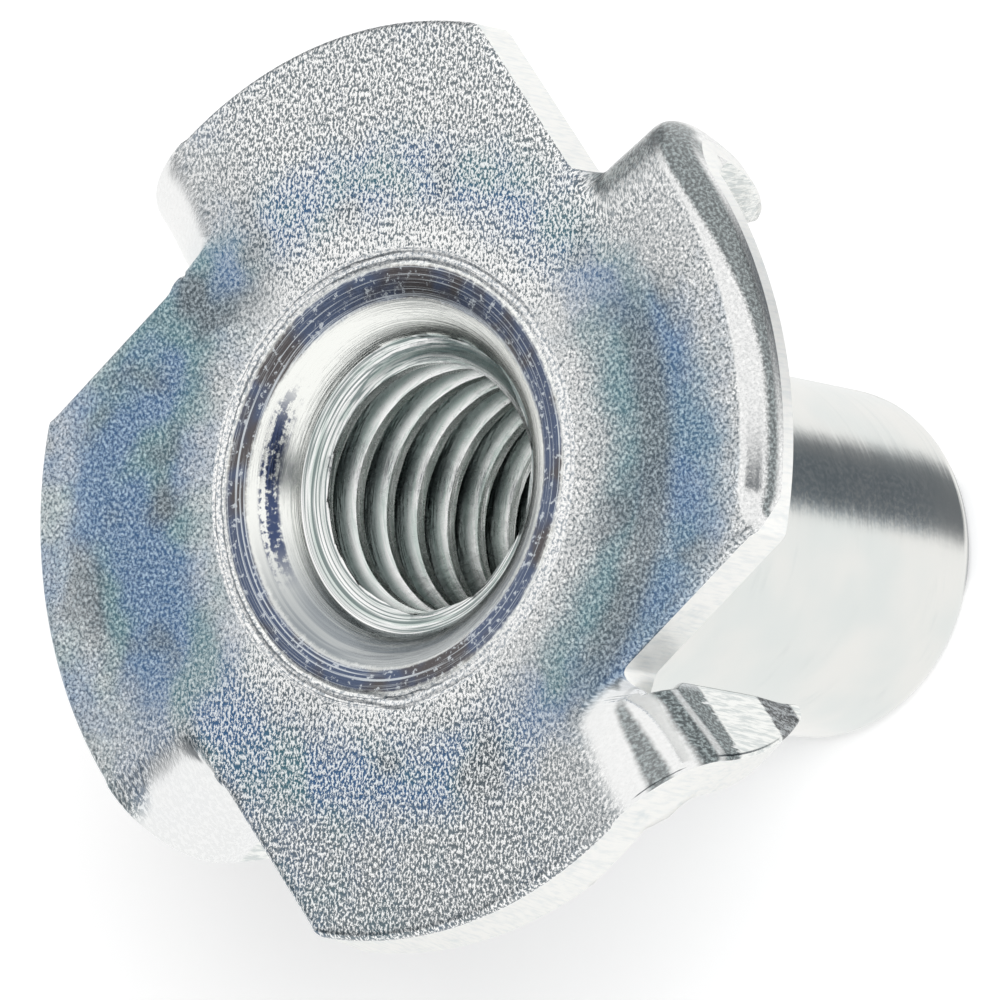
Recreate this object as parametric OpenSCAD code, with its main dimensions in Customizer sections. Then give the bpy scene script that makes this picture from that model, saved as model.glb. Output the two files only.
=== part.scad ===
// Four-prong tee nut for an M6 screw, drawn from one disc of steel sheet.
// The barrel stands on its open end at z = 0, with the flange at the top.
// Each prong is a rim segment freed by a straight slit and folded down beside the barrel.

/* [Flange] */
// Diameter of the flange
flange_d = 19; // [18:0.5:26]
// Thickness of the sheet
sheet_t = 1.2; // [0.8:0.1:1.4]
// Rounding that blanking leaves on the rim's upper edge
rim_roll = 0.4; // [0.1:0.05:0.5]

/* [Barrel] */
// Height from the barrel's open end to the flange's face
height = 15; // [11:0.5:20]
// Outside diameter of the barrel
barrel_d = 7.4; // [7.2:0.1:8.4]
// Fillet between the barrel and the underside of the flange
root_fillet = 0.7; // [0.3:0.1:1]
// Rounding of the barrel's open end
end_round = 0.6; // [0.3:0.05:0.7]

/* [Bore] */
// Bore at the crests of the thread
bore_d = 5.1; // [4.6:0.1:5.4]
// Diameter at which the drawn lip ends, above the thread
throat_d = 6.2; // [5.8:0.1:6.6]
// Radius of the drawn lip, where the face turns down into the bore
lip_r = 1.35; // [1:0.05:1.6]
// Degrees through which the lip turns down before it ends
lip_turn = 68; // [50:1:80]
// Drop of the ledge that leads from the throat into the thread
ledge_drop = 0.2; // [0.1:0.05:0.5]
// Lead-in chamfer at the barrel's open end
end_lead = 0.35; // [0.1:0.05:0.5]

/* [Prongs] */
// Number of prongs
prongs = 4; // [3:1:4]
// Distance from the axis to each slit, and so to each prong's straight edge
slit_offset = 7.2; // [6.6:0.1:7.8]
// How far each prong's outer face stands beyond the radius it is folded on
fold_offset = 2.1; // [1.6:0.1:2.6]
// Radius on the inside of each fold
fold_r = 0.8; // [0.4:0.1:1]
// Width of the sheared shoulder that joins flange and fold at the slit's end
shoulder = 0.37; // [0.1:0.01:0.5]
// Length of the bevel that thins each point from its inner face
point_bevel = 1.5; // [0.5:0.1:2]
// Thickness left at the end of each point
point_t = 0.45; // [0.3:0.05:0.7]
// Length trimmed off each point to blunt it
point_trim = 0.17; // [0.05:0.01:0.4]

/* [Hidden] */
$fn = 96;
eps = 0.01;
// Depth of the layer that a bend leaves unstretched, as a share of the sheet's thickness
neutral = 0.33;
flange_r = flange_d / 2;
barrel_r = barrel_d / 2;
bore_r = bore_d / 2;
throat_r = throat_d / 2;
under = height - sheet_t;
// Radius at which the face starts to turn down, and height at which the lip ends
mouth_r = throat_r + lip_r * sin(lip_turn);
throat_z = height - lip_r * (1 - cos(lip_turn));
// Rounding and lead-in of the open end, limited by the wall they share
end_wall = barrel_r - bore_r;
end_r = min(end_round, 0.6 * end_wall);
lead = min(end_lead, 0.35 * end_wall);
// Fold: the sheet turns through a quarter circle about an axis parallel to the prong's root
fold_outer = fold_r + sheet_t;
fold_start = fold_offset - fold_outer;
fold_z = height - fold_outer;
// Length of sheet used up by the fold, measured along its unstretched layer
fold_length = PI / 2 * (fold_r + neutral * sheet_t);
// Height at which the folded rim arc has its centre, so that the arc keeps its length along the sheet
arc_z = fold_z + fold_start + fold_length;
// Drop of the fold's outer face where the shoulder runs out
shoulder_drop = fold_outer - sqrt(pow(fold_outer, 2) - pow(fold_outer - shoulder, 2));
// Height of the blunted point, just above where the straight edge would meet the rim arc
point_z = arc_z - sqrt(pow(flange_r, 2) - pow(slit_offset, 2)) + point_trim;

// Quarter disc of radius r in the corner of a square: what a rounded corner leaves out
module corner(r) {
    difference() {
        square(r + eps);
        circle(r);
    }
}

// Half section of the blank's outline with its rolled edge, face upwards at the given height
module rim_section(face, depth) {
    difference() {
        translate([0, face - depth]) square([flange_r, depth]);
        translate([flange_r - rim_roll, face - rim_roll]) corner(rim_roll);
    }
}

// Section of barrel, flange and lip, in radius and height
module section() {
    difference() {
        union() {
            rim_section(height, sheet_t);
            square([barrel_r, height]);
            // root fillet under the flange
            translate([barrel_r - eps, under - root_fillet]) difference() {
                square(root_fillet + eps);
                translate([root_fillet + eps, 0]) circle(root_fillet);
            }
        }
        // rounded outer edge of the open end
        translate([barrel_r - end_r, end_r]) mirror([0, 1]) corner(end_r);
        // bore with its lead-in at the open end
        translate([0, -eps]) square([bore_r, height + 2 * eps]);
        polygon([[0, -eps], [bore_r + lead + eps, -eps], [bore_r, lead], [0, lead]]);
        // drawn lip, and the ledge below it that leads into the thread
        difference() {
            polygon([[0, throat_z - ledge_drop], [bore_r, throat_z - ledge_drop], [throat_r, throat_z],
                     [mouth_r, throat_z], [mouth_r, height + eps], [0, height + eps]]);
            translate([mouth_r, height - lip_r]) circle(lip_r);
        }
    }
}

// Flat part of the sheet that each prong leaves behind: everything beyond the slit and past the fold
module prong_window() {
    translate([slit_offset, fold_start, under - root_fillet])
        cube([flange_r, flange_r, sheet_t + root_fillet + eps]);
}

// Quarter disc of radius r on top of a strip that runs down from it, as wide as the disc
module fold_side(r, leg) {
    intersection() {
        circle(r);
        square(r);
    }
    translate([0, -leg]) square([r, leg]);
}

// Folded sheet seen from the side, as a profile in the fold's own plane
module fold_profile() {
    difference() {
        fold_side(fold_outer, fold_z - point_z);
        fold_side(fold_r, height);
    }
}

// Shoulder at the slit's end: a ramp from the flange's edge down to the fold, cut off on the diagonal
module slit_shoulder() {
    difference() {
        translate([slit_offset, fold_offset, height]) rotate([90, 0, 0])
            linear_extrude(fold_outer)
                polygon([[0, 0], [shoulder, -shoulder_drop],
                         [shoulder, -sheet_t - shoulder], [0, -sheet_t]]);
        translate([slit_offset, fold_offset, 0]) rotate(-45)
            cube([2 * shoulder, 2 * shoulder, height + eps]);
    }
}

// One prong, with its rim arc, straight edge and bevelled point
module prong() {
    difference() {
        intersection() {
            // the folded strip, running outwards from the slit
            translate([slit_offset, fold_start, fold_z]) rotate([90, 0, 90])
                linear_extrude(flange_r - slit_offset) fold_profile();
            // rim seen from above
            rotate_extrude() rim_section(height, height);
            // rim arc as the folded sheet carries it down
            translate([0, fold_offset, arc_z]) rotate([-90, 0, 0])
                rotate_extrude() rim_section(0, height);
        }
        // bevel that thins the point from its inner face
        translate([slit_offset, fold_offset - point_t, point_z])
            rotate([atan2(sheet_t - point_t, point_bevel), 0, 0])
                translate([-eps, -2 * sheet_t, -sheet_t])
                    cube([flange_r, 2 * sheet_t, 2 * point_bevel + 2 * sheet_t]);
    }
}

module tee_nut() {
    color("lightsteelblue") {
        difference() {
            rotate_extrude() section();
            for (i = [0:prongs - 1]) rotate(i * 360 / prongs) prong_window();
        }
        for (i = [0:prongs - 1]) rotate(i * 360 / prongs) {
            prong();
            slit_shoulder();
        }
    }
}

tee_nut();
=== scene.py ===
import math
from collections import namedtuple

import bmesh
import bpy
import numpy as np
from mathutils import Matrix, Vector, kdtree
from mathutils.geometry import delaunay_2d_cdt


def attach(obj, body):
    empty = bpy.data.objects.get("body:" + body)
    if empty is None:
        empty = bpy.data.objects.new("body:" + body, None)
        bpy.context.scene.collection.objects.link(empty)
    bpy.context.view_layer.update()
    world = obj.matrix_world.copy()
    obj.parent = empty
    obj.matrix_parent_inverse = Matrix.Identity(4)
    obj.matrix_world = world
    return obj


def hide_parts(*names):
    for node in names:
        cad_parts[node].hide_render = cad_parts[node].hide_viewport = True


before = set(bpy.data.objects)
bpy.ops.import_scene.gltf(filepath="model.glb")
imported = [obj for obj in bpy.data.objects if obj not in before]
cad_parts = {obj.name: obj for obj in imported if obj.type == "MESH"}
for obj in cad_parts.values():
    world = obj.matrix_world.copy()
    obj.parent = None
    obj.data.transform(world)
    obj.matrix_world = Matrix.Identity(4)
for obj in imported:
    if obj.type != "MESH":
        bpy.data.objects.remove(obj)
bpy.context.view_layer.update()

# Lengths are in millimetres, and the finished mesh is scaled to metres. The barrel stands on z = 0.
MM = 0.001

# Sizes that the CAD model has too
FLANGE_R = 9.5
SHEET = 1.2
HEIGHT = 15.0
UNDER = HEIGHT - SHEET
BARREL_R = 3.7
ROOT_FILLET = 0.7
END_ROUND = 0.6
END_LEAD = 0.35
CREST_R = 2.55
THROAT_R = 3.1
LEDGE_DROP = 0.2
LIP_R = 1.35
LIP_TURN = math.radians(68)
MOUTH_R = THROAT_R + LIP_R * math.sin(LIP_TURN)
THROAT_Z = HEIGHT - LIP_R * (1 - math.cos(LIP_TURN))
PRONGS = 4
FOLD_Y = 2.1
POINT_Z = 8.95

# Farthest that any metal reaches from the axis along x or y, a hair inside the CAD model's box
REACH = 9.499
# Thread
PITCH = 1.0
VALLEY_R = 3.05
# Radius out to which the drawing punch marked the face round the mouth
BURR_R = 4.95

# The frame of a slit is the blank turned until that slit runs along y. Its prong lies at greater x.
# Distance of each slit from the axis. The four blades of the press tool differ a little.
SLITS = np.array([7.22, 7.20, 7.17, 7.13])
# Places (x from the slit, y) where the cut goes on below the fold: it leans out from the slit's line and
# runs out where the sheet starts to turn.
CRACK = ((0.0, FOLD_Y), (0.25, 1.75), (0.37, 1.26))
CRACK_X, CRACK_Y = CRACK[-1]
# Where the straight edge of a prong ends on the blank, and how far out from it the rim's arc ends. Between
# the two its point is cut off straight.
TIP_Y = 6.02
TIP_CUT = 0.36
# Place y on the blank that comes to lie at POINT_Z once it is folded
POINT_Y = 6.03

# Outer radius of a prong's bend beside the slit, and what it gains towards the rim
BEND_R = 1.75
BEND_GAIN = 0.3
# Depth of the layer that the bend leaves unstretched, as a share of the sheet
NEUTRAL = 0.67

# Facets round the axis, and steps of the rolled edge
COLUMNS = 144
ROLL_STEPS = 8
# Distance between points of a line before its columns are picked
LINE_STEP = 0.02
# Rounding of the outline's corners
CORNER_ROUND = 0.085
# Closest and widest that columns stand along the edge
CLOSE, WIDE = 0.035, 0.16


# ---------------------------------------------------------------- sheet: from flat blank to folded prongs

def rise(t, start, length):
    """0 at start, 1 a length further on, with soft ends, and level beyond both."""
    t = np.clip((t - start) / length, 0, 1)
    return t * t * (3 - 2 * t)


def hump(t, centre, width):
    """1 at the centre, falling off to both sides."""
    return np.exp(-((t - centre) / width) ** 2)


def turned(x, y, k):
    """Points turned about the axis by k quarter turns."""
    cos, sin = np.array([1, 0, -1, 0])[np.mod(k, 4)], np.array([0, 1, 0, -1])[np.mod(k, 4)]
    return cos * x - sin * y, sin * x + cos * y


def prong_thickness(y):
    """Thickness of the sheet at y on a prong, thinned from inside towards its point."""
    lost, start, length = 0.78, 2, 4.04
    return SHEET - lost * np.clip((y - start) / length, 0, 1) ** 2


def bend_size(x):
    """A prong's bend at x: its outer radius, where it starts, and how much of the blank it uses."""
    gain_start, gain_length = 7.2, 2.0
    outer = BEND_R + BEND_GAIN * rise(x, gain_start, gain_length)
    return outer, FOLD_Y - outer, math.pi / 2 * (outer - NEUTRAL * SHEET)


def folded(x, y, depth):
    """Where a point of a prong comes to lie along y and z, depth below the outer face."""
    outer, start, length = bend_size(x)
    angle = np.clip((y - start) / length, 0, 1) * math.pi / 2
    drawn = (HEIGHT - outer - POINT_Z) / (POINT_Y - start - length)
    leg = np.maximum(y - start - length, 0) * drawn
    # near the rim the sheet squeezed out on the inside of the bend stands a little proud
    pile = 0.26 * hump(y, 0.85, 0.75) * rise(x, 8.5, 0.8)
    # the trimming tool hit each point from outside and left a shallow facet
    dent = 0.11 * np.clip((y - 4.38) / 1.1, 0, 1) * (1 - depth / SHEET)
    r = outer - dent - depth * (prong_thickness(y) / SHEET + pile * (depth / SHEET) ** 2)
    flat = y < start
    across = np.where(flat, y, start + r * np.sin(angle))
    height = np.where(flat, HEIGHT - depth, HEIGHT - outer + r * np.cos(angle) - leg)
    return across, height


def past_slit(x, y, k):
    """Whether points of the blank lie on the prong's side of slit k."""
    lean, level = zip(*CRACK[::-1])
    return (y > CRACK_Y) & (x > SLITS[k] + np.interp(y, level, lean))


def fold_share(x, y, k, on_prong):
    """How far a point of the blank goes along with the fold: 1 on the prong, 0 on the flange."""
    near = rise(x, SLITS[k], CRACK_X)
    above = np.clip((y - CRACK_Y) / (FOLD_Y - CRACK_Y), 0, 1)
    return np.where(on_prong & (y > CRACK_Y), 1.0, near * (1 - above ** 1.6))


def shape(x, y, depth, k, on_prong):
    """Places points of the blank, given in the frame of slit k, on the stamped nut."""
    share = fold_share(x, y, k, on_prong)
    across, height = folded(x, y, depth)
    z = HEIGHT - depth + share * (height - HEIGHT + depth)
    wx, wy = (np.clip(w, -REACH, REACH) for w in turned(x, y + share * (across - y), k))
    return np.stack([wx, wy, z], -1)


def bend_share(x, y, k, on_prong):
    """0 on the flange, rising to 1 where a prong has come round its bend."""
    _, start, length = bend_size(x)
    return fold_share(x, y, k, on_prong) * np.clip((y - start) / length, 0, 1)


# ---------------------------------------------------------------- outline of the blank and its edges

def picked(t, along, line):
    """The points of a line at t, given how far along each of its own points lies."""
    return np.stack([np.interp(t, along, values) for values in line.T], -1)


def even(points):
    """A polyline resampled at an even step."""
    line = np.array(points, float)
    along = np.concatenate([[0], np.cumsum(np.hypot(*np.diff(line, axis=0).T))])
    count = max(2, int(round(along[-1] / LINE_STEP)) + 1)
    return picked(np.linspace(0, along[-1], count), along, line)


def rounded(points):
    """A polyline with its corners rounded. Each end keeps its place, as the line goes on mirrored there."""
    line = even(points)
    n = int(4 * CORNER_ROUND / LINE_STEP)
    kernel = np.exp(-0.5 * (np.arange(-n, n + 1) * LINE_STEP / CORNER_ROUND) ** 2)
    kernel /= kernel.sum()
    padded = np.concatenate([2 * line[0] - line[n:0:-1], line, 2 * line[-1] - line[-2:-n - 2:-1]])
    return np.stack([np.convolve(values, kernel, "valid") for values in padded.T], -1)


def rim_turn(x):
    """Degrees round from the x axis to the point of the rim that lies at x."""
    return math.degrees(math.acos(x / FLANGE_R))


def rim_arc(start, end):
    """Points of the rim between two places, in degrees from the x axis."""
    count = max(3, int(abs(math.radians(end - start)) * FLANGE_R / LINE_STEP))
    angles = np.radians(np.linspace(start, end, count))
    return [(FLANGE_R * math.cos(a), FLANGE_R * math.sin(a)) for a in angles]


def spaced(line):
    """Picks columns along a line, close where it turns and wide where it is straight.
    Gives their places and the directions that point out of the blank."""
    way = np.gradient(line, axis=0)
    heading = np.unwrap(np.arctan2(way[:, 1], way[:, 0]))
    rate = np.abs(np.gradient(heading)) / np.hypot(*way.T)
    step = np.clip(WIDE / (1 + 1.5 * rate), CLOSE, WIDE)
    along = np.concatenate([[0], np.cumsum(np.hypot(*np.diff(line, axis=0).T) / step[1:])])
    t = np.linspace(0, along[-1], int(math.ceil(along[-1])) + 1)
    heading = np.interp(t, along, heading)
    return picked(t, along, line), np.stack([np.sin(heading), -np.cos(heading)], -1)


def outline():
    """Columns of the blank's whole edge, anticlockwise: place and outward direction in the frame of their
    slit, the slit's number, and whether they belong to its prong."""
    columns = []
    for k, slit in enumerate(SLITS):
        crack = [(slit + x, y) for x, y in CRACK]
        blade = rim_arc(0, rim_turn(slit + TIP_CUT)) + [(slit, TIP_Y)] + crack
        lobe = crack[::-1] + rim_arc(rim_turn(slit), 90)
        for line, on_prong in ((blade, True), (lobe, False)):
            places, outwards = spaced(rounded(line))
            # a line's last column is left out, because the next line starts there
            for place, outward in list(zip(places, outwards))[:-1]:
                columns.append((*place, *outward, k, on_prong))
    return map(np.array, zip(*columns))


# One value for each column: place, outward direction, slit and side, the width and depth of the rolled
# corner, the break along the inner face, and how far the wall flares out towards it
Edge = namedtuple("Edge", "x y nx ny k on_prong width depth broken flare")


def roll_width(x, y, k, on_prong, near_rim, deep, from_crack):
    """Width of the rolled corner: wide where the roll is deep, and narrow where there is little room."""
    deep_roll, prong_roll, lobe_roll, sheared = 0.5, 0.09, 0.17, 0.16
    on_rim = np.where(deep, deep_roll, np.where(on_prong, prong_roll, lobe_roll))
    width = sheared * (1 - near_rim) + on_rim * near_rim
    from_corner = np.hypot(x - SLITS[k], y - 6.1)
    width = np.minimum(width, 0.1 + 0.45 * from_corner)
    width = np.minimum(width, 0.02 + 0.35 * from_crack)
    blade_width = np.where(on_prong, np.sqrt(FLANGE_R ** 2 - y ** 2) - SLITS[k], 9)
    return np.minimum(width, 0.025 + 0.32 * np.maximum(blade_width - 0.26, 0))


def blank_edge():
    """The whole edge of the blank, with its rolled corner, break and flare."""
    x, y, nx, ny, k, on_prong = outline()
    near_rim = rise(np.hypot(x, y), FLANGE_R - 0.25, 0.2)
    # the punch was set a little off centre, so the roll is deep on one side of the blank only
    deep = (k == 3) & ~on_prong | (k == 0) & on_prong
    from_crack = np.hypot(x - (SLITS[k] + CRACK_X), y - CRACK_Y)
    width = roll_width(x, y, k, on_prong, near_rim, deep, from_crack)
    depth = width * (1.0 + np.where(deep, 0.7, 0.1) * near_rim)
    broken = np.minimum(0.03, 0.012 + 0.2 * from_crack)
    # at the crack's end the gap opens away from the crack
    ends = from_crack < 1e-6
    nx[ends] = -0.24
    ny[ends] = 0.97
    # on one lobe the cut tore outwards, so the wall flares towards the inner face
    turn = np.degrees(np.arctan2(y, x))
    torn = (k == 2) & ~on_prong
    widest = 0.15
    flare = widest * near_rim * torn * rise(turn, 40.8, 2.5) * rise(turn, 91, -9)
    return Edge(x, y, nx, ny, k, on_prong, width, depth, broken, flare)


def edge_rows(edge):
    """Rows of the edge from the outer face down to the inner one: rolled corner, wall and break. Each row has
    its points, their places if the edge were pressed flat, their share of the bend and of the roll."""
    x, y, nx, ny, k, on_prong, width, depth, broken, flare = edge
    quarter = np.linspace(0, math.pi / 2, ROLL_STEPS + 1)
    steps = [(-width * (1 - math.sin(a)), depth * (1 - math.cos(a))) for a in quarter]
    steps += [(flare * t, depth + (SHEET - broken - depth) * t) for t in (0.3, 0.6, 0.85, 1.0)]
    steps += [(flare - broken, 0 * width + SHEET)]
    rows, pressed, last = [], -width, steps[0]
    for i, (out, down) in enumerate(steps):
        pressed = pressed + np.hypot(out - last[0], down - last[1])
        last = out, down
        flat = turned(x + pressed * nx, y + pressed * ny, k)
        px, py = x + out * nx, y + out * ny
        roll = min(i, ROLL_STEPS) / ROLL_STEPS * rise(width, 0.15, 0.25)
        rows.append((shape(px, py, down, k, on_prong), flat, bend_share(px, py, k, on_prong), roll))
    return rows


# ---------------------------------------------------------------- skin

FACE, EDGE, BARREL, LIP, THREAD = range(5)


class Shell:
    """Collects points and faces of the nut's skin, with each face's finish and, for the sheet,
    where a point lay in the flat blank and how far it has gone round the bend and over the rolled rim."""

    def __init__(self):
        self.points, self.faces, self.finish, self.count = [], [], [], 0
        self.blank, self.bend, self.roll = [], [], []

    def add(self, points, blank=None, bend=0.0, roll=0.0):
        """Adds points and gives their numbers."""
        points = np.asarray(points, float).reshape(-1, 3)
        self.points.append(points)
        self.blank.append(points if blank is None else np.column_stack([*blank, np.zeros(len(points))]))
        self.bend.append(np.zeros(len(points)) + bend)
        self.roll.append(np.zeros(len(points)) + roll)
        self.count += len(points)
        return np.arange(self.count - len(points), self.count)

    def skin(self, faces, finish):
        """Adds faces, each given by the numbers of its points."""
        self.faces += [tuple(int(i) for i in f) for f in faces]
        self.finish += [finish] * len(faces)

    def strip(self, upper, lower, finish):
        """Quads between two closed rows of equal length, facing outwards when they run anticlockwise."""
        a, b = np.roll(upper, -1), np.roll(lower, -1)
        self.skin(np.stack([upper, lower, b, a], -1), finish)

    def revolve(self, first, profile, finish, inwards=False):
        """Rings at each (radius, height), joined on below a first row of points."""
        last = first
        for r, z in profile:
            new = self.add(circle(r, z))
            upper, lower = (new, last) if inwards else (last, new)
            self.strip(upper, lower, finish)
            last = new


def circle(r, z):
    """One ring of points round the axis."""
    a = np.arange(COLUMNS) * 2 * math.pi / COLUMNS
    return np.stack([r * np.cos(a), r * np.sin(a), np.full(COLUMNS, z)], -1)


def nearest_slit(x, y):
    """The slit in whose neighbourhood each point of the blank lies, or 0 where there is none."""
    near_x, near_y = 6.5, 6.9
    k = np.zeros(np.shape(x), int)
    for i in range(PRONGS):
        sx, sy = turned(x, y, -i)
        k = np.where((sx > near_x) & (sy > 0) & (sy < near_y), i, k)
    return k


def face_grid():
    """Points spread over the blank: even on the flat, in close rows along each fold."""
    step = 0.2
    points = [(x + step / 2 * (j % 2), y) for x in np.arange(-FLANGE_R, FLANGE_R, step)
              for j, y in enumerate(np.arange(-FLANGE_R, FLANGE_R, step))]
    points = np.array(points)
    r = np.hypot(*points.T)
    points = points[(r < FLANGE_R) & (r > BURR_R - 0.1)]
    fold_x, fold_end, wide, close = 6.9, 6.3, 0.16, 0.1
    for k in range(PRONGS):
        sx, sy = turned(points[:, 0], points[:, 1], -k)
        points = points[~((sx > fold_x) & (sy > -0.05) & (sy < fold_end))]
        rows = np.meshgrid(np.arange(fold_x + 0.05, FLANGE_R, wide), np.arange(0.0, fold_end, close))
        fine = np.stack(turned(rows[0].ravel(), rows[1].ravel(), k), -1)
        points = np.concatenate([points, fine[np.hypot(*fine.T) < FLANGE_R]])
    return points


def within(points, loop):
    """Whether each point lies inside a closed loop: then it has an odd number of sides beyond it in x."""
    inside = np.zeros(len(points), bool)
    for (ax, ay), (bx, by) in zip(loop, np.roll(loop, -1, axis=0)):
        beside = (ay > points[:, 1]) != (by > points[:, 1])
        side = ax + (points[:, 1] - ay) * (bx - ax) / (by - ay if by != ay else 1e-12)
        inside ^= beside & (points[:, 0] < side)
    return inside


def triangles(loop, hole, grid):
    """Triangles between the edge's loop and the ring round the hole, over those grid points that keep clear
    of both. Gives the grid points kept, and three point numbers for each triangle."""
    clear = 0.07
    n, m = len(loop), len(hole)
    border = np.concatenate([loop, hole])
    tree = kdtree.KDTree(n + m)
    for i, (x, y) in enumerate(border):
        tree.insert((x, y, 0), i)
    tree.balance()
    kept = np.array([p for p in grid if tree.find((*p, 0))[2] > clear])
    cloud = [Vector(p) for p in np.concatenate([border, kept])]
    sides = [(i, (i + 1) % n) for i in range(n)] + [(n + i, n + (i + 1) % m) for i in range(m)]
    places, _, faces, sources, _, _ = delaunay_2d_cdt(cloud, sides, [], 0, 1e-7)
    faces = np.array(faces)
    centres = np.array([tuple(p) for p in places])[faces].mean(1)
    # the sides of the ring run a little inside its circle
    hole_r = np.hypot(*hole.T).min() * math.cos(math.pi / m) - 1e-6
    wanted = within(centres, loop) & (np.hypot(*centres.T) > hole_r)
    return kept, [[sources[i][0] for i in face] for face in faces[wanted]]


def add_face(shell, edge, inset, depth, row, hole, hole_row, grid):
    """One face of the sheet, at that depth, from the edge's row in to the ring round the hole."""
    loop = np.stack(turned(edge.x - inset * edge.nx, edge.y - inset * edge.ny, edge.k), -1)
    kept, faces = triangles(loop, hole[:, :2], grid)
    x, y = kept.T
    k = nearest_slit(x, y)
    sx, sy = turned(x, y, -k)
    on_prong = past_slit(sx, sy, k)
    inner = shell.add(shape(sx, sy, depth, k, on_prong), (x, y), bend_share(sx, sy, k, on_prong))
    numbers = np.concatenate([row, hole_row, inner])
    # triangles run anticlockwise seen from above, and the other way round on the inner face
    order = -1 if depth else 1
    shell.skin([numbers[face[::order]] for face in faces], FACE)


def build_sheet(shell):
    """The sheet's edge and its two faces. Gives the rows of points where lip and barrel join on."""
    edge = blank_edge()
    rows = [shell.add(*row) for row in edge_rows(edge)]
    for i, (upper, lower) in enumerate(zip(rows, rows[1:])):
        shell.strip(upper, lower, FACE if i < ROLL_STEPS else EDGE)
    grid = face_grid()
    mouth, root = circle(BURR_R, HEIGHT), circle(BARREL_R + ROOT_FILLET, UNDER)
    mouth_row, root_row = shell.add(mouth), shell.add(root)
    add_face(shell, edge, edge.width, 0.0, rows[0], mouth, mouth_row, grid)
    add_face(shell, edge, edge.broken - edge.flare, SHEET, rows[-1], root, root_row, grid)
    return mouth_row, root_row


def scored_circle(r):
    """A ring on the face beside the mouth, where the drawing punch left two wandering grooves."""
    points = circle(r, HEIGHT)
    a = np.arctan2(points[:, 1], points[:, 0])
    wander = 0.03 * np.sin(3 * a + 0.7) + 0.02 * np.sin(7 * a + 2.1) + 0.015 * np.sin(17 * a)
    tear = 0.14 * hump(np.mod(a, 2 * math.pi), 4.10, 0.13)
    at = r - wander - tear
    uneven = 0.6 + 0.4 * np.sin(5 * a + 1.0) * np.sin(2 * a)
    groove = 0.034 * uneven * hump(at, 4.66, 0.035) + 0.028 * hump(at, 4.47, 0.045)
    points[:, 2] -= groove * rise(r, BURR_R, -0.06)
    return points


def build_lip(shell, row):
    """The scored face beside the mouth, and the lip that turns down from it to the throat."""
    lip_edge = 4.78
    for r in np.linspace(BURR_R, MOUTH_R, 26)[1:]:
        new = shell.add(scored_circle(r))
        shell.strip(new, row, FACE if r > lip_edge else LIP)
        row = new
    turn = np.linspace(0, LIP_TURN, 15)[1:]
    lip = [(MOUTH_R - LIP_R * math.sin(a), HEIGHT - LIP_R + LIP_R * math.cos(a)) for a in turn]
    shell.revolve(row, lip, LIP, inwards=True)


def build_barrel(shell, row):
    """The barrel from its fillet under the flange down to the rim of its open end."""
    quarter = np.linspace(0, math.pi / 2, 9)[1:]
    fillet = [(BARREL_R + ROOT_FILLET * (1 - math.sin(a)), UNDER - ROOT_FILLET * (1 - math.cos(a)))
              for a in quarter]
    wall = [(BARREL_R, z) for z in np.linspace(UNDER - ROOT_FILLET, END_ROUND, 16)[1:]]
    nose = [(BARREL_R - END_ROUND * (1 - math.cos(a)), END_ROUND * (1 - math.sin(a))) for a in quarter]
    rim = [(CREST_R + END_LEAD, 0.0)]
    shell.revolve(row, fillet + wall + nose + rim, BARREL)


# ---------------------------------------------------------------- node maths

def operator(name):
    """One of Wire's operators, which adds a Math node, and its reflected form, with the wire second."""
    def direct(wire, other):
        return wire.math(name, wire, other)

    def reflected(wire, other):
        return wire.math(name, other, wire)

    return direct, reflected


class Wire:
    """A value in a node tree. Python's operators on it add Math nodes."""

    def __init__(self, tree, socket=None):
        self.tree, self.socket = tree, socket

    def node(self, kind, settings=None, values=None, out=0):
        """Adds a node: first its settings, then the values or wires of its sockets."""
        node = self.tree.nodes.new(kind)
        for name, value in (settings or {}).items():
            setattr(node, name, value)
        for name, value in (values or {}).items():
            if isinstance(value, Wire):
                self.tree.links.new(value.socket, node.inputs[name])
            else:
                node.inputs[name].default_value = value
        return Wire(self.tree, node.outputs[out])

    def math(self, operation, *values):
        return self.node("ShaderNodeMath", {"operation": operation}, dict(enumerate(values)))

    __add__, __radd__ = operator("ADD")
    __sub__, __rsub__ = operator("SUBTRACT")
    __mul__, __rmul__ = operator("MULTIPLY")
    __truediv__, __rtruediv__ = operator("DIVIDE")
    __pow__, __rpow__ = operator("POWER")

    def max(self, other):
        return self.math("MAXIMUM", self, other)

    def min(self, other):
        return self.math("MINIMUM", self, other)

    def through(self, function):
        """This number put through a function that takes no other."""
        return self.math(function, self)

    def vector(self, operation, *values, scale=None, out=0):
        values = dict(enumerate(values))
        if scale is not None:
            values["Scale"] = scale
        return self.node("ShaderNodeVectorMath", {"operation": operation}, values, out)

    def combined(self, x, y, z=0.0):
        """A vector of three numbers."""
        return self.node("ShaderNodeCombineXYZ", None, {0: x, 1: y, 2: z})

    def parts(self):
        """The three numbers of this vector."""
        split = self.node("ShaderNodeSeparateXYZ", None, {0: self})
        return [Wire(self.tree, output) for output in split.socket.node.outputs]

    def beside(self, output):
        """Another output of the node that this value comes from."""
        return Wire(self.tree, self.socket.node.outputs[output])

    def ramp(self, low, high):
        """0 at low to 1 at high, with soft ends."""
        return self.node("ShaderNodeMapRange", {"interpolation_type": "SMOOTHSTEP"},
                         {"Value": self, "From Min": low, "From Max": high})

    def fade(self, low, high):
        """1 at low to 0 at high, with soft ends."""
        return 1 - self.ramp(low, high)


# ---------------------------------------------------------------- thread

THREAD_SIZES = {"Pitch": PITCH, "Crest radius": CREST_R, "Valley radius": VALLEY_R, "Top": THROAT_Z,
                "Throat radius": THROAT_R, "Ledge drop": LEDGE_DROP, "End lead": END_LEAD, "Burr": 0.05}
ROWS_PER_PITCH = 16


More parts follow.
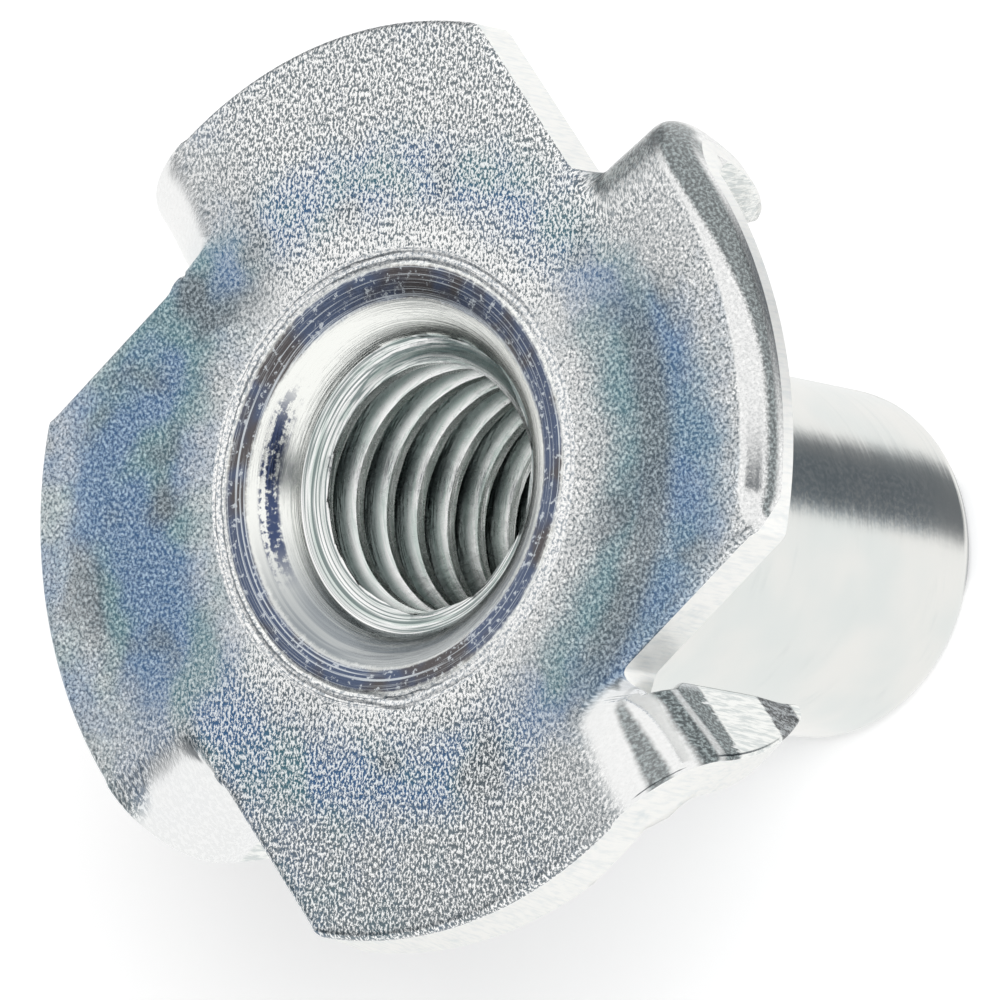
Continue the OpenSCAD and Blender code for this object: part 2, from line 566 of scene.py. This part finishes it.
def thread_tree():
    """Geometry nodes of a tapped bore: a grid laid along the helix, so that its rows follow the crests."""
    tree = bpy.data.node_groups.new("tapped_bore", "GeometryNodeTree")
    tree.interface.new_socket("Geometry", in_out="OUTPUT", socket_type="NodeSocketGeometry")
    kinds = dict.fromkeys(THREAD_SIZES, "NodeSocketFloat")
    kinds.update({"Seed": "NodeSocketInt", "Finish": "NodeSocketMaterial"})
    for name, kind in kinds.items():
        tree.interface.new_socket(name, in_out="INPUT", socket_type=kind)
    group = tree.nodes.new("NodeGroupInput")
    size = {name: Wire(tree, group.outputs[name]) for name in kinds}
    start = Wire(tree)
    rows = int(math.ceil(THROAT_Z / PITCH + 1)) * ROWS_PER_PITCH + 1
    grid = start.node("GeometryNodeMeshGrid", None,
                      {"Size X": 1.0, "Size Y": 1.0, "Vertices X": COLUMNS + 1, "Vertices Y": rows})
    across, along, _ = start.node("GeometryNodeInputPosition").parts()
    across, along = across + 0.5, along + 0.5
    angle = across * (2 * math.pi)
    z = (along * ((rows - 1) / ROWS_PER_PITCH) + across - 1.0) * size["Pitch"]
    z = z.max(0.0).min(size["Top"])
    r = thread_radius(size, across, angle, z)
    spot = start.combined(r * angle.through("COSINE"), r * angle.through("SINE"), z)
    moved = start.node("GeometryNodeSetPosition", None, {"Geometry": grid, "Position": spot})
    whole = start.node("GeometryNodeRealizeInstances", None, {"Geometry": moved})
    done = start.node("GeometryNodeSetMaterial", None, {"Geometry": whole, "Material": size["Finish"]})
    end = tree.nodes.new("NodeGroupOutput")
    tree.links.new(done.socket, end.inputs[0])
    return tree


def thread_radius(size, across, angle, z):
    """Radius of the bore: thread with torn crests, the ledge above it and the lead-in at the open end."""
    # crest and valley flats take up a quarter and an eighth of the pitch, as on a metric thread
    crest_flat, flank = 0.25, 0.625
    phase = (z / size["Pitch"] - across + 1.0).through("FRACT")
    wave = ((phase - 0.5).through("ABSOLUTE") * 2 - crest_flat) / flank
    depth = wave.min(1.0).max(0.0)
    turn = z.combined(angle.through("COSINE"), angle.through("SINE"), z * 0.6)
    torn = z.node("ShaderNodeTexNoise", {"noise_dimensions": "4D"},
                  {"Vector": turn, "W": size["Seed"], "Scale": 4.0, "Detail": 3.0})
    crest = size["Crest radius"] + (torn - 0.35).max(0.0) * size["Burr"] * (1 - depth)
    thread = crest + depth * (size["Valley radius"] - crest)
    ledge = size["Throat radius"] + (z - size["Top"]) / size["Ledge drop"] * (
        size["Throat radius"] - size["Crest radius"])
    lead = size["Crest radius"] + size["End lead"] - z
    run_in = z.ramp(0.0, 0.7)
    return (size["Crest radius"] + (thread - size["Crest radius"]) * run_in).max(ledge).max(lead)


def thread_mesh(finish):
    """The tapped bore as a plain mesh."""
    tree = thread_tree()
    mesh = bpy.data.meshes.new("thread_start")
    holder = bpy.data.objects.new("thread_start", mesh)
    bpy.context.collection.objects.link(holder)
    modifier = holder.modifiers.new("thread", "NODES")
    modifier.node_group = tree
    values = {**THREAD_SIZES, "Seed": 7, "Finish": finish}
    for item in tree.interface.items_tree:
        if item.in_out == "INPUT":
            modifier[item.identifier] = values[item.name]
    bpy.context.view_layer.update()
    evaluated = holder.evaluated_get(bpy.context.evaluated_depsgraph_get())
    result = bpy.data.meshes.new_from_object(evaluated)
    holder.modifiers.remove(modifier)
    bpy.data.objects.remove(holder)
    return result


# ---------------------------------------------------------------- finishes

class Finish:
    """A metal finish being built: its material, its shader and the place on the nut in millimetres."""

    def __init__(self, name):
        self.material = bpy.data.materials.new(name)
        self.material.use_nodes = True
        self.tree = self.material.node_tree
        self.shader = self.tree.nodes["Principled BSDF"]
        self.shader.inputs["Metallic"].default_value = 1.0
        place = Wire(self.tree).node("ShaderNodeTexCoord", out="Object")
        self.mm = place.vector("SCALE", place, scale=1 / MM)
        self.x, self.y, self.z = self.mm.parts()
        self.r = (self.x * self.x + self.y * self.y) ** 0.5
        self.angle = self.y.math("ARCTAN2", self.y, self.x)

    def noise(self, scale, detail=2.0, rough=0.5, at=None):
        """Noise through the metal, or at another place."""
        return self.mm.node("ShaderNodeTexNoise", None, {
            "Vector": at or self.mm, "Scale": scale, "Detail": detail, "Roughness": rough})

    def around(self, turns, r_scale, z_scale):
        """A place that runs on along the circumference, so that a pattern on it is drawn into rings."""
        return self.mm.combined(self.r * r_scale, self.z * z_scale, self.angle.through("COSINE") * turns)

    def toward(self, x, y):
        """1 on the side of the nut that (x, y) points to, falling to -1 opposite."""
        return (self.x * x + self.y * y) / self.r

    def mix(self, factor, a, b):
        """A colour between a and b."""
        a, b = (v if isinstance(v, Wire) else (*v, 1) for v in (a, b))
        return self.mm.node("ShaderNodeMix", {"data_type": "RGBA"}, {0: factor, 6: a, 7: b}, out=2)

    def done(self, colour, rough, relief, depth):
        """Joins colour, roughness and a relief, deep in millimetres, to the shader. Gives the material."""
        relief = relief.node("ShaderNodeBump", None,
                             {"Height": relief, "Distance": depth * MM, "Strength": 1.0})
        for name, value in (("Base Color", colour), ("Roughness", rough), ("Normal", relief)):
            self.tree.links.new(value.socket, self.shader.inputs[name])
        return self.material


# Colours of the sheet's face. In each pair of a film, the first lies between crystals and the second on them.
# The white is a painted glint on the crystals and a painted highlight on the bends, and the dark stripe
# colour is painted reflection.
HOLLOW_ZINC = (0.18, 0.21, 0.23)
GLINT_WHITE = (0.99, 0.99, 0.99)
BLUE_FILM = ((0.055, 0.13, 0.265), (0.43, 0.55, 0.69))
TEAL_FILM = ((0.075, 0.17, 0.215), (0.48, 0.61, 0.64))
GREY_FILM = ((0.075, 0.10, 0.12), (0.42, 0.48, 0.52))
DARK_REFLECTION = ((0.05, 0.065, 0.07), (0.36, 0.42, 0.43))
SCRATCHED_LEG = ((0.66, 0.70, 0.70), (0.94, 0.95, 0.93))
CHIPPED_FACET = ((0.025, 0.03, 0.035), (0.45, 0.48, 0.5))


class SheetFinish(Finish):
    """A finish laid on the flat blank, so that it goes along round the bends and over the rolled rim."""

    def __init__(self, name):
        super().__init__(name)
        self.blank = self.attribute("blank", "Vector")
        self.bend = self.attribute("bend", "Fac")
        self.roll = self.attribute("roll", "Fac")
        self.bx, self.by, _ = self.blank.parts()
        self.br = (self.bx * self.bx + self.by * self.by) ** 0.5
        # 1 on the lobe towards +x -y and the one opposite, -1 on the two between them
        self.wing = self.bx * self.by * -2.0 / (self.br * self.br)
        # three of the blank's quarters: +x -y, +x +y and -x -y
        self.near_side = self.bx.ramp(-0.5, 0.5) * self.by.fade(-0.5, 0.5)
        self.far_side = self.bx.ramp(-0.5, 0.5) * self.by.ramp(-0.5, 0.5)
        self.shadow_side = self.bx.fade(-0.5, 0.5) * self.by.fade(-0.5, 0.5)
        # 1 round the hole, falling to 0 farther out
        self.by_hole = self.br.fade(4.6, 5.9)
        self.clouds = self.flat_noise(self.blank, 0.8, 3.0, 0.65)
        self.round_grain = self.flat_noise(self.blank, 14.0, 2.0, 0.7)

    def attribute(self, name, out):
        return self.mm.node("ShaderNodeAttribute", {"attribute_name": name}, out=out)

    def flat_noise(self, at, scale, detail, rough):
        """Noise over the flat blank."""
        return at.node("ShaderNodeTexNoise", {"noise_dimensions": "2D"},
                       {"Vector": at, "Scale": scale, "Detail": detail, "Roughness": rough})

    def moved(self, x, y):
        """The blank's place moved aside, for a noise of its own."""
        return self.blank.vector("ADD", self.blank, (x, y, 0.0))

    def outwards(self, x, y):
        """How far out towards (x, y) a point of the blank lies, from 0 at the axis to 1 at the rim."""
        return ((self.bx * x + self.by * y) / FLANGE_R).max(0.0)


def rolled_grain(f):
    """Relief of the sheet: grain drawn out along the rolling direction, a little higher round the hole, where
    it also turns more crystals pale as painted sheen.
    """
    along, across = f.bx * 0.67 + f.by * 0.74, f.bx * 0.74 - f.by * 0.67
    laid = f.mm.combined(along * 10.0, across * 17.0)
    return f.flat_noise(laid, 1.0, 2.0, 0.7) - f.outwards(-0.7, -0.7) * 0.035 + f.by_hole * 0.045


def crystals(f, grain, soft):
    """1 on a crystal and 0 between: drawn out with the grain, or rounder with single dots where soft is 1."""
    cells = f.mm.node("ShaderNodeTexVoronoi", {"voronoi_dimensions": "2D"}, {"Vector": f.blank, "Scale": 9.0})
    chance = f.mm.node("ShaderNodeSeparateColor", None, {0: cells.beside("Color")})
    dots = cells.fade(0.1, 0.5) * chance.ramp(0.3, 0.9)
    # more crystals come out pale round the hole and near the rim, as a painted sheen
    worn = f.by_hole * 0.07 + f.br.ramp(7.8, 8.7) * 0.04
    rounder = (f.round_grain + worn).ramp(0.38, 0.64) * 0.75 + dots * 0.55
    return grain.ramp(0.43, 0.57) * (1 - soft) + rounder * soft


def flatness(f):
    """1 on the flat, falling early on the bends. It falls less on the far side, and later on the shadow side
    near the rim, so that grain and film run on round the bend there."""
    bent = f.bend - (f.bx * -1.0).ramp(8.2, 9.2) * f.shadow_side * 0.2
    return 1 - bent.ramp(0.01, 0.17) * (1 - f.far_side * 0.8)


def film_and_dark_reflection(f, flat):
    """The blue film: thickest in a broad ring about the middle of the flange, wider on two of the lobes. The
    ring's darkness is partly film and partly painted dark reflection.
    """
    broad = f.flat_noise(f.moved(31.0, 17.0), 0.33, 2.0, 0.5)
    wider = f.wing.max(0.0) * (1.25 + 0.3 * f.near_side)
    ring = f.br.ramp(4.9, 6.4) * (f.br - wider).fade(6.2, 7.9)
    film = ring * 1.05 + f.outwards(-0.94, 0.34) * 0.62
    film = film + (f.clouds - 0.5) * 1.1 + (broad - 0.5) * 0.5 + (f.round_grain - 0.5) * 0.7
    return ((film - 0.04) * (0.2 + 0.8 * flat) * f.roll.fade(0.02, 0.1)).max(0.0).min(1.0)


def film_hues(f):
    """The film's colour between the crystals and on them: blue, teal in places, and grey in others."""
    teal = f.flat_noise(f.moved(5.0, 43.0), 0.55, 1.5, 0.6).ramp(0.40, 0.68)
    grey = f.flat_noise(f.moved(71.0, 9.0), 0.5, 1.5, 0.6).ramp(0.50, 0.72)
    # a grey band between teal and blue on the side where the rim rolled over
    band = f.wing.ramp(0.0, 0.7) * f.near_side
    teal = (teal + band * f.br.fade(6.2, 7.0)).min(1.0) * (1 - band * f.br.ramp(6.6, 7.3) * 0.6)
    grey = grey.max(band * f.br.ramp(6.1, 6.7) * f.br.fade(7.0, 7.6) * 0.9)
    hues = zip(BLUE_FILM, TEAL_FILM, GREY_FILM)
    return [f.mix(grey, f.mix(teal, blue, green), dull) for blue, green, dull in hues]


def painted_bend_reflections(f, scratch):
    """Two dark stripes of painted reflection along the bend of the prong on the near side, and one on the far
    side.
    """
    frayed = f.bend + (f.clouds - 0.5) * 0.12
    wider = (f.by * -1.0).ramp(7.4, 9.0) * 0.05
    first = frayed.ramp(0.34 - wider, 0.40 - wider) * frayed.fade(0.42 + wider, 0.48 + wider) * 0.8
    second = frayed.ramp(0.66, 0.76) * (f.z + (scratch - 0.5) * 1.3).ramp(12.4, 12.62)
    second = second * (1 - f.bend.ramp(0.86, 0.90) * f.bend.fade(0.93, 0.97) * 0.6) * 0.95
    near = first.max(second) * f.near_side * f.r.ramp(7.4, 7.8)
    # painted dark reflection over the crest of the far prong's bend
    far = f.far_side * f.bend.ramp(0.0, 0.45) * f.bend.fade(0.5, 0.72) * 0.75
    return near, far


def rim_reflection(f):
    """A dark stripe of painted reflection along the rolled rim. It lies farther over the rim towards -y, and
    ends at the bends.
    """
    middle = (f.by / f.br * -1.0).ramp(0.0, 0.5) * 0.46 + 0.20 + (f.round_grain - 0.5) * 0.12
    stripe = f.roll.ramp(middle - 0.07, middle + 0.07) * f.roll.fade(0.80, 0.95) * 0.85
    return stripe * f.bend.fade(0.7, 0.9)


def pressed_zinc():
    """The sheet's face: small crystals under a blue film, painted white on top as glints, paler round the
    hole and at the rim as painted sheen, with painted highlights and dark reflections on the bends and the
    rolled rim.
    """
    f = SheetFinish("pressed_zinc")
    grain, soft, flat = rolled_grain(f), f.wing.ramp(-0.4, 0.5), flatness(f)
    film = film_and_dark_reflection(f, flat)
    deep_hue, bright_hue = film_hues(f)
    deep = f.mix(film, HOLLOW_ZINC, deep_hue)
    # colour on the crystals' tops: white as a painted glint where the film is thin, and on the bends a
    # painted highlight
    bright = f.mix(film * (0.3 + 0.7 * soft), GLINT_WHITE, bright_hue)
    # bends and the rolled rim are smooth and painted bright as a highlight, with stripes of painted dark
    # reflection along them
    steady = flat * (1 - f.roll.ramp(0.0, 0.08) * 0.8)
    face = f.mix((crystals(f, grain, soft) - 0.92) * (0.08 + 0.92 * steady) + 0.92, deep, bright)
    scratch = f.noise(1.0, 2.0, 0.7, at=f.mm.combined(f.x * 9.0, f.y * 9.0, f.z * 1.6))
    near, far = painted_bend_reflections(f, scratch)
    # colour of the painted dark reflections along the bends and the rolled rim
    shade = f.mix(f.round_grain.ramp(0.36, 0.74), *DARK_REFLECTION)
    face = f.mix(near.max(rim_reflection(f)).max(far), face, shade)
    # legs of the prongs: pale, scratched lengthwise, with a rough dark facet above the point of one
    leg = f.bend.ramp(0.9, 1.0) * f.z.fade(12.45, 12.6)
    pale = f.mix(scratch.ramp(0.35, 0.60), *SCRATCHED_LEG)
    facet = f.r.ramp(6.8, 7.0) * (f.z + (scratch - 0.5) * 0.2).fade(10.5, 10.62) * f.z.ramp(9.25, 9.4)
    facet = facet * f.near_side
    chipped = f.mix((scratch * 0.5 + f.round_grain * 0.5).ramp(0.44, 0.58), *CHIPPED_FACET)
    colour = f.mix(facet, f.mix(leg, face, pale), chipped)
    rough = (0.12 + 0.16 * f.clouds) * (0.5 + 0.5 * flat) + facet * 0.2
    return f.done(colour, rough, grain * (0.15 + 0.85 * steady), 0.01)


CUT_METAL = ((0.84, 0.86, 0.86), (0.94, 0.94, 0.92))
CUT_SPOTS = (0.66, 0.72, 0.74)


def sheared_edge():
    """Cut edges of the sheet: pale and matt, with fine lines in the direction of the cut."""
    f = Finish("sheared_edge")
    f.shader.inputs["Metallic"].default_value = 0.6
    lines = f.noise(1.0, 3.0, 0.6, at=f.mm.combined(f.x * 13.0, f.y * 13.0, f.z * 2.0))
    spots = f.noise(1.6, 3.0, 0.6)
    worn = f.mix(lines.ramp(0.3, 0.6), *CUT_METAL)
    colour = f.mix(spots.ramp(0.58, 0.75) * 0.4, worn, CUT_SPOTS)
    return f.done(colour, 0.28 + 0.2 * spots, lines * 0.6 + spots, 0.008)


BARREL_METAL = ((0.77, 0.80, 0.79), (0.84, 0.84, 0.82))
BARREL_MARKS = (0.66, 0.70, 0.70)
BARREL_DARK_REFLECTION = ((0.34, 0.44, 0.52), (0.80, 0.84, 0.84))
END_LINE = (0.03, 0.055, 0.07)


def drawn_barrel():
    """The barrel: smooth and almost white, with a faint play of colour in the film."""
    f = Finish("drawn_barrel")
    marks = f.noise(1.0, 3.0, 0.6, at=f.around(3.0, 1.0, 2.5))
    tint = f.noise(0.5)
    pale = f.mix(tint.ramp(0.3, 0.7), *BARREL_METAL)
    pale = f.mix(marks.ramp(0.55, 0.8) * 0.3, pale, BARREL_MARKS)
    # a bluish, speckled band of painted dark reflection along one side, and a dark line round the open end
    # there
    specks = f.noise(9.0, 3.0, 0.7).ramp(0.42, 0.62)
    reflected_band = f.toward(0.905, -0.425).ramp(0.975, 0.996) * f.z.ramp(0.7, 2.5)
    pale = f.mix(reflected_band * 0.4, pale, f.mix(specks, *BARREL_DARK_REFLECTION))
    line = f.toward(0.87, -0.49).ramp(0.90, 0.97) * f.z.fade(0.30, 0.46)
    colour = f.mix(line * 0.9, pale, END_LINE)
    return f.done(colour, 0.13 + 0.1 * marks, marks + 0.4 * f.noise(2.5), 0.008)


LIP_METAL = ((0.95, 0.96, 0.93), (0.30, 0.35, 0.36))
LIP_SHADE = (0.24, 0.27, 0.30)
BLUE_MARKS = (0.02, 0.045, 0.14)
BURNT_METAL = ((0.07, 0.06, 0.065), (0.055, 0.085, 0.17))
BRIGHT_LINES = (0.74, 0.79, 0.84)
RUBBED_METAL = ((0.38, 0.42, 0.46), (0.99, 0.99, 0.99))
SCORED_LINES = (0.09, 0.11, 0.13)


def drawn_lip():
    """The lip pulled down into the bore: a dark burnished ring where the punch bore on the sheet,
    bright below it, with ring marks and dark blue tints."""
    f = Finish("drawn_lip")
    rings = f.noise(1.0, 4.0, 0.7, at=f.around(1.0, 20.0, 12.0))
    wide = f.noise(1.0, 3.0, 0.6, at=f.around(1.6, 7.0, 5.0))
    grit = f.noise(6.0, 3.0, 0.7)
    tint = f.noise(0.9)
    # radius with a wandering, gritty border
    edge = f.r + (wide - 0.5) * 0.2 + (grit - 0.5) * 0.12
    back = f.toward(0.6, 0.8).max(0.0)
    burnt = (edge + back * 0.17).ramp(3.86, 3.96) * edge.fade(4.36, 4.46)
    marks = (wide * 0.4 + tint * 0.2 + grit * 0.4).ramp(0.45, 0.53)
    blue = f.toward(-0.76, 0.65).ramp(0.76, 0.96) * edge.fade(3.66, 3.74) * edge.ramp(3.32, 3.42) * marks
    shaded = f.toward(-0.5, -0.86).ramp(-0.1, 0.7) * edge.fade(3.84, 3.92)
    low = f.z.fade(14.2, 14.5) * (1 - back * 0.8)
    pale = f.mix(rings.ramp(0.54, 0.66) * (0.07 + 0.7 * low), *LIP_METAL)
    pale = f.mix(shaded * (0.65 + 0.25 * wide.ramp(0.4, 0.6)), pale, LIP_SHADE)
    pale = f.mix(blue * 0.95, pale, BLUE_MARKS)
    lines = (rings.ramp(0.51, 0.62) * 0.8).max(grit.ramp(0.56, 0.64) * 0.7)
    char = f.mix(lines, f.mix(tint.ramp(0.4, 0.6), *BURNT_METAL), BRIGHT_LINES)
    rubbed = rubbed_ring(f, edge, wide)
    colour = f.mix(edge.ramp(4.4, 4.5), f.mix(burnt * 0.95, pale, char), rubbed)
    return f.done(colour, 0.08 + 0.16 * rings + burnt * 0.1, rings + 0.6 * grit * burnt, 0.012)


def rubbed_ring(f, edge, wide):
    """Rubbed metal round the lip, with two scored lines from the punch's shoulder, faint towards +x -y."""
    fine = f.noise(13.0, 3.0, 0.65)
    rubbed = f.mix(fine.ramp(0.38, 0.56), *RUBBED_METAL)
    worst = 1 - f.toward(0.9, -0.44).ramp(-0.2, 0.8) * 0.8
    for radius in (4.53, 4.69):
        score = (edge - radius).through("ABSOLUTE").fade(0.008, 0.03)
        rubbed = f.mix(score * worst * wide.ramp(0.36, 0.5) * 0.85, rubbed, SCORED_LINES)
    return rubbed


CREST_METAL = ((0.58, 0.66, 0.63), (1.0, 1.0, 1.0))
VALLEY_SHADE = (0.06, 0.095, 0.09)
START_RINGS = (0.10, 0.15, 0.15)
DEEP_BORE_SHADE = (0.34, 0.39, 0.35)


def tapped_thread():
    """The thread: bright crests streaked by the tap, grey-green painted shade in the valleys, and painted
    shade deeper down the bore.
    """
    f = Finish("tapped_thread")
    drag = f.noise(1.0, 3.0, 0.7, at=f.around(2.0, 6.0, 8.0))
    pits = f.noise(5.0, 3.0, 0.6)
    base = f.mix(drag.ramp(0.32, 0.60), *CREST_METAL)
    # painted shade in the valleys below the ledge
    valley = (f.r + (drag - 0.5) * 0.12).ramp(CREST_R + 0.01, CREST_R + 0.24) * f.z.fade(13.9, 14.05)
    base = f.mix(valley * 0.88, base, VALLEY_SHADE)
    # rings that the tap cut where it started
    rings = f.noise(1.0, 3.0, 0.6, at=f.around(1.0, 20.0, 20.0))
    base = f.mix(f.z.ramp(13.6, 13.9) * rings.ramp(0.46, 0.58) * 0.8, base, START_RINGS)
    # painted shade, growing towards the bottom of the bore
    colour = f.mix(f.z.fade(2.0, 13.0) * 0.4, base, DEEP_BORE_SHADE)
    return f.done(colour, 0.16 + 0.2 * pits, drag + 0.5 * pits, 0.014)


# in the order of FACE, EDGE, BARREL, LIP and THREAD
finishes = [pressed_zinc(), sheared_edge(), drawn_barrel(), drawn_lip(), tapped_thread()]


# ---------------------------------------------------------------- the nut

def shell_mesh():
    """Sheet, lip and barrel as one mesh, open only where the thread goes in."""
    shell = Shell()
    mouth_row, root_row = build_sheet(shell)
    build_lip(shell, mouth_row)
    build_barrel(shell, root_row)
    mesh = bpy.data.meshes.new("plated_tee_nut")
    mesh.from_pydata(np.concatenate(shell.points).tolist(), [], shell.faces)
    for material in finishes:
        mesh.materials.append(material)
    mesh.polygons.foreach_set("material_index", shell.finish)
    for name, kind, field, values in (("blank", "FLOAT_VECTOR", "vector", shell.blank),
                                      ("bend", "FLOAT", "value", shell.bend),
                                      ("roll", "FLOAT", "value", shell.roll)):
        attribute = mesh.attributes.new(name, kind, "POINT")
        attribute.data.foreach_set(field, np.concatenate(values).astype(np.float32).ravel())
    return mesh


def add_thread(mesh):
    """Welds the tapped bore into the mesh, which closes it."""
    bm = bmesh.new()
    bm.from_mesh(mesh)
    before = len(bm.faces)
    bm.from_mesh(thread_mesh(finishes[THREAD]))
    bm.faces.ensure_lookup_table()
    for face in bm.faces[before:]:
        face.material_index = THREAD
    weld, sliver = 0.0005, 0.00001
    bmesh.ops.remove_doubles(bm, verts=bm.verts, dist=weld)
    bmesh.ops.dissolve_degenerate(bm, edges=bm.edges, dist=sliver)
    bmesh.ops.recalc_face_normals(bm, faces=bm.faces)
    bm.to_mesh(mesh)
    bm.free()


# Turn between two faces from which the edge between them is shaded sharp
SHARP = math.radians(42)


def build_nut():
    mesh = shell_mesh()
    add_thread(mesh)
    mesh.transform(Matrix.Scale(MM, 4))
    mesh.shade_smooth()
    mesh.set_sharp_from_angle(angle=SHARP)
    nut = bpy.data.objects.new("plated_tee_nut", mesh)
    bpy.context.collection.objects.link(nut)
    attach(nut, "root")
    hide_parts("tee_nut")


build_nut()


# ---------------------------------------------------------------- floor, light and camera, in metres

def build_floor():
    mesh = bpy.data.meshes.new("floor")
    side = 2.0
    corners = [(-side, -side, 0), (side, -side, 0), (side, side, 0), (-side, side, 0)]
    mesh.from_pydata(corners, [], [(0, 1, 2, 3)])
    floor = bpy.data.objects.new("floor", mesh)
    bpy.context.collection.objects.link(floor)
    material = bpy.data.materials.new("pale_floor")
    material.use_nodes = True
    tree = material.node_tree
    shader = tree.nodes["Principled BSDF"]
    shader.inputs["Base Color"].default_value = (0.85, 0.85, 0.85, 1)
    shader.inputs["Roughness"].default_value = 0.9
    shader.inputs["Emission Color"].default_value = (1, 1, 1, 1)
    # a little glow that only the camera sees
    seen = Wire(tree).node("ShaderNodeLightPath")
    tree.links.new((seen * 0.3).socket, shader.inputs["Emission Strength"])
    mesh.materials.append(material)
    floor.visible_glossy = False


# Openings of the tent: which way they lie, half their width and the softness of their edge in degrees,
# and how dark they are
OPENINGS = (((-0.74, 0.20, 0.64), 20, 6, 0.80), ((0.402, -0.494, 0.771), 14, 4, 0.9),
            ((0.60, -0.58, 0.55), 11, 4, 0.85), ((0.73, -0.65, 0.22), 11, 4, 0.85),
            ((-0.04, 0.98, -0.1), 22, 8, 0.6), ((0.63, 0.10, -0.77), 17, 5, 0.88))


def tent_cloth():
    """White cloth that glows, with soft dark openings."""
    material = bpy.data.materials.new("tent_cloth")
    material.use_nodes = True
    tree = material.node_tree
    tree.nodes.remove(tree.nodes["Principled BSDF"])
    place = Wire(tree).node("ShaderNodeTexCoord", out="Object")
    toward = place.vector("NORMALIZE", place)
    light = None
    for direction, half, soft, dark in OPENINGS:
        near = toward.vector("DOT_PRODUCT", toward, tuple(Vector(direction).normalized()), out=1)
        low, high = math.cos(math.radians(half + soft)), math.cos(math.radians(half - soft))
        left = 1 - near.ramp(low, high) * dark
        light = left if light is None else light * left
    glow = light.node("ShaderNodeMix", {"data_type": "RGBA"},
                      {0: light, 6: (0.035, 0.05, 0.065, 1), 7: (1.0, 1.0, 0.99, 1)}, out=2)
    cloth = light.node("ShaderNodeEmission", None, {"Color": glow, "Strength": 1.0})
    tree.links.new(cloth.socket, tree.nodes["Material Output"].inputs["Surface"])
    return material


def build_tent():
    """What the metal mirrors: a white tent with darker openings, seen by reflections only."""
    bm = bmesh.new()
    bmesh.ops.create_icosphere(bm, subdivisions=4, radius=0.5)
    bmesh.ops.reverse_faces(bm, faces=bm.faces)
    mesh = bpy.data.meshes.new("tent")
    bm.to_mesh(mesh)
    bm.free()
    tent = bpy.data.objects.new("tent", mesh)
    bpy.context.collection.objects.link(tent)
    mesh.materials.append(tent_cloth())
    tent.visible_camera = tent.visible_diffuse = tent.visible_shadow = tent.visible_transmission = False


def build_world():
    """A white room: full white where it is seen, softer where it lights the nut."""
    world = bpy.data.worlds.new("studio")
    world.use_nodes = True
    bpy.context.scene.world = world
    tree = world.node_tree
    background = tree.nodes["Background"]
    camera_ray = Wire(tree).node("ShaderNodeLightPath")
    seen = camera_ray.max(camera_ray.beside("Is Glossy Ray")).max(camera_ray.beside("Is Transmission Ray"))
    background.inputs["Color"].default_value = (1, 1, 1, 1)
    tree.links.new((0.6 + 0.4 * seen).socket, background.inputs["Strength"])


def build_softbox():
    """A round soft lamp above the near side, turned to the origin."""
    lamp = bpy.data.lights.new("softbox", "AREA")
    lamp.shape = "DISK"
    lamp.size = 0.25
    lamp.energy = 1.2
    softbox = bpy.data.objects.new("softbox", lamp)
    place = Vector((0.24, -0.12, 0.32))
    softbox.location = place
    softbox.rotation_euler = place.to_track_quat("Z", "Y").to_euler()
    softbox.visible_glossy = False
    bpy.context.collection.objects.link(softbox)


def build_camera():
    """A long lens, turned on its own axis as if the nut lay on its side."""
    lens = bpy.data.cameras.new("camera")
    lens.lens = 720
    lens.sensor_width = 36
    lens.clip_start = 0.01
    lens.clip_end = 10
    camera = bpy.data.objects.new("camera", lens)
    bpy.context.collection.objects.link(camera)
    target = Vector((1.09, -1.352, 13.564)) * MM
    distance = 0.4095
    azimuth, elevation, roll = math.radians(39.108), math.radians(50.409), math.radians(-78.953)
    back = Vector((math.sin(azimuth) * math.cos(elevation), -math.cos(azimuth) * math.cos(elevation),
                   math.sin(elevation)))
    level = back.to_track_quat("Z", "Y").to_matrix().to_4x4()
    turn = Matrix.Rotation(roll, 4, "Z")
    camera.matrix_world = Matrix.Translation(target + distance * back) @ level @ turn
    bpy.context.scene.camera = camera


build_floor()
build_tent()
build_world()
build_softbox()
build_camera()
bpy.context.scene.view_settings.view_transform = "Standard"
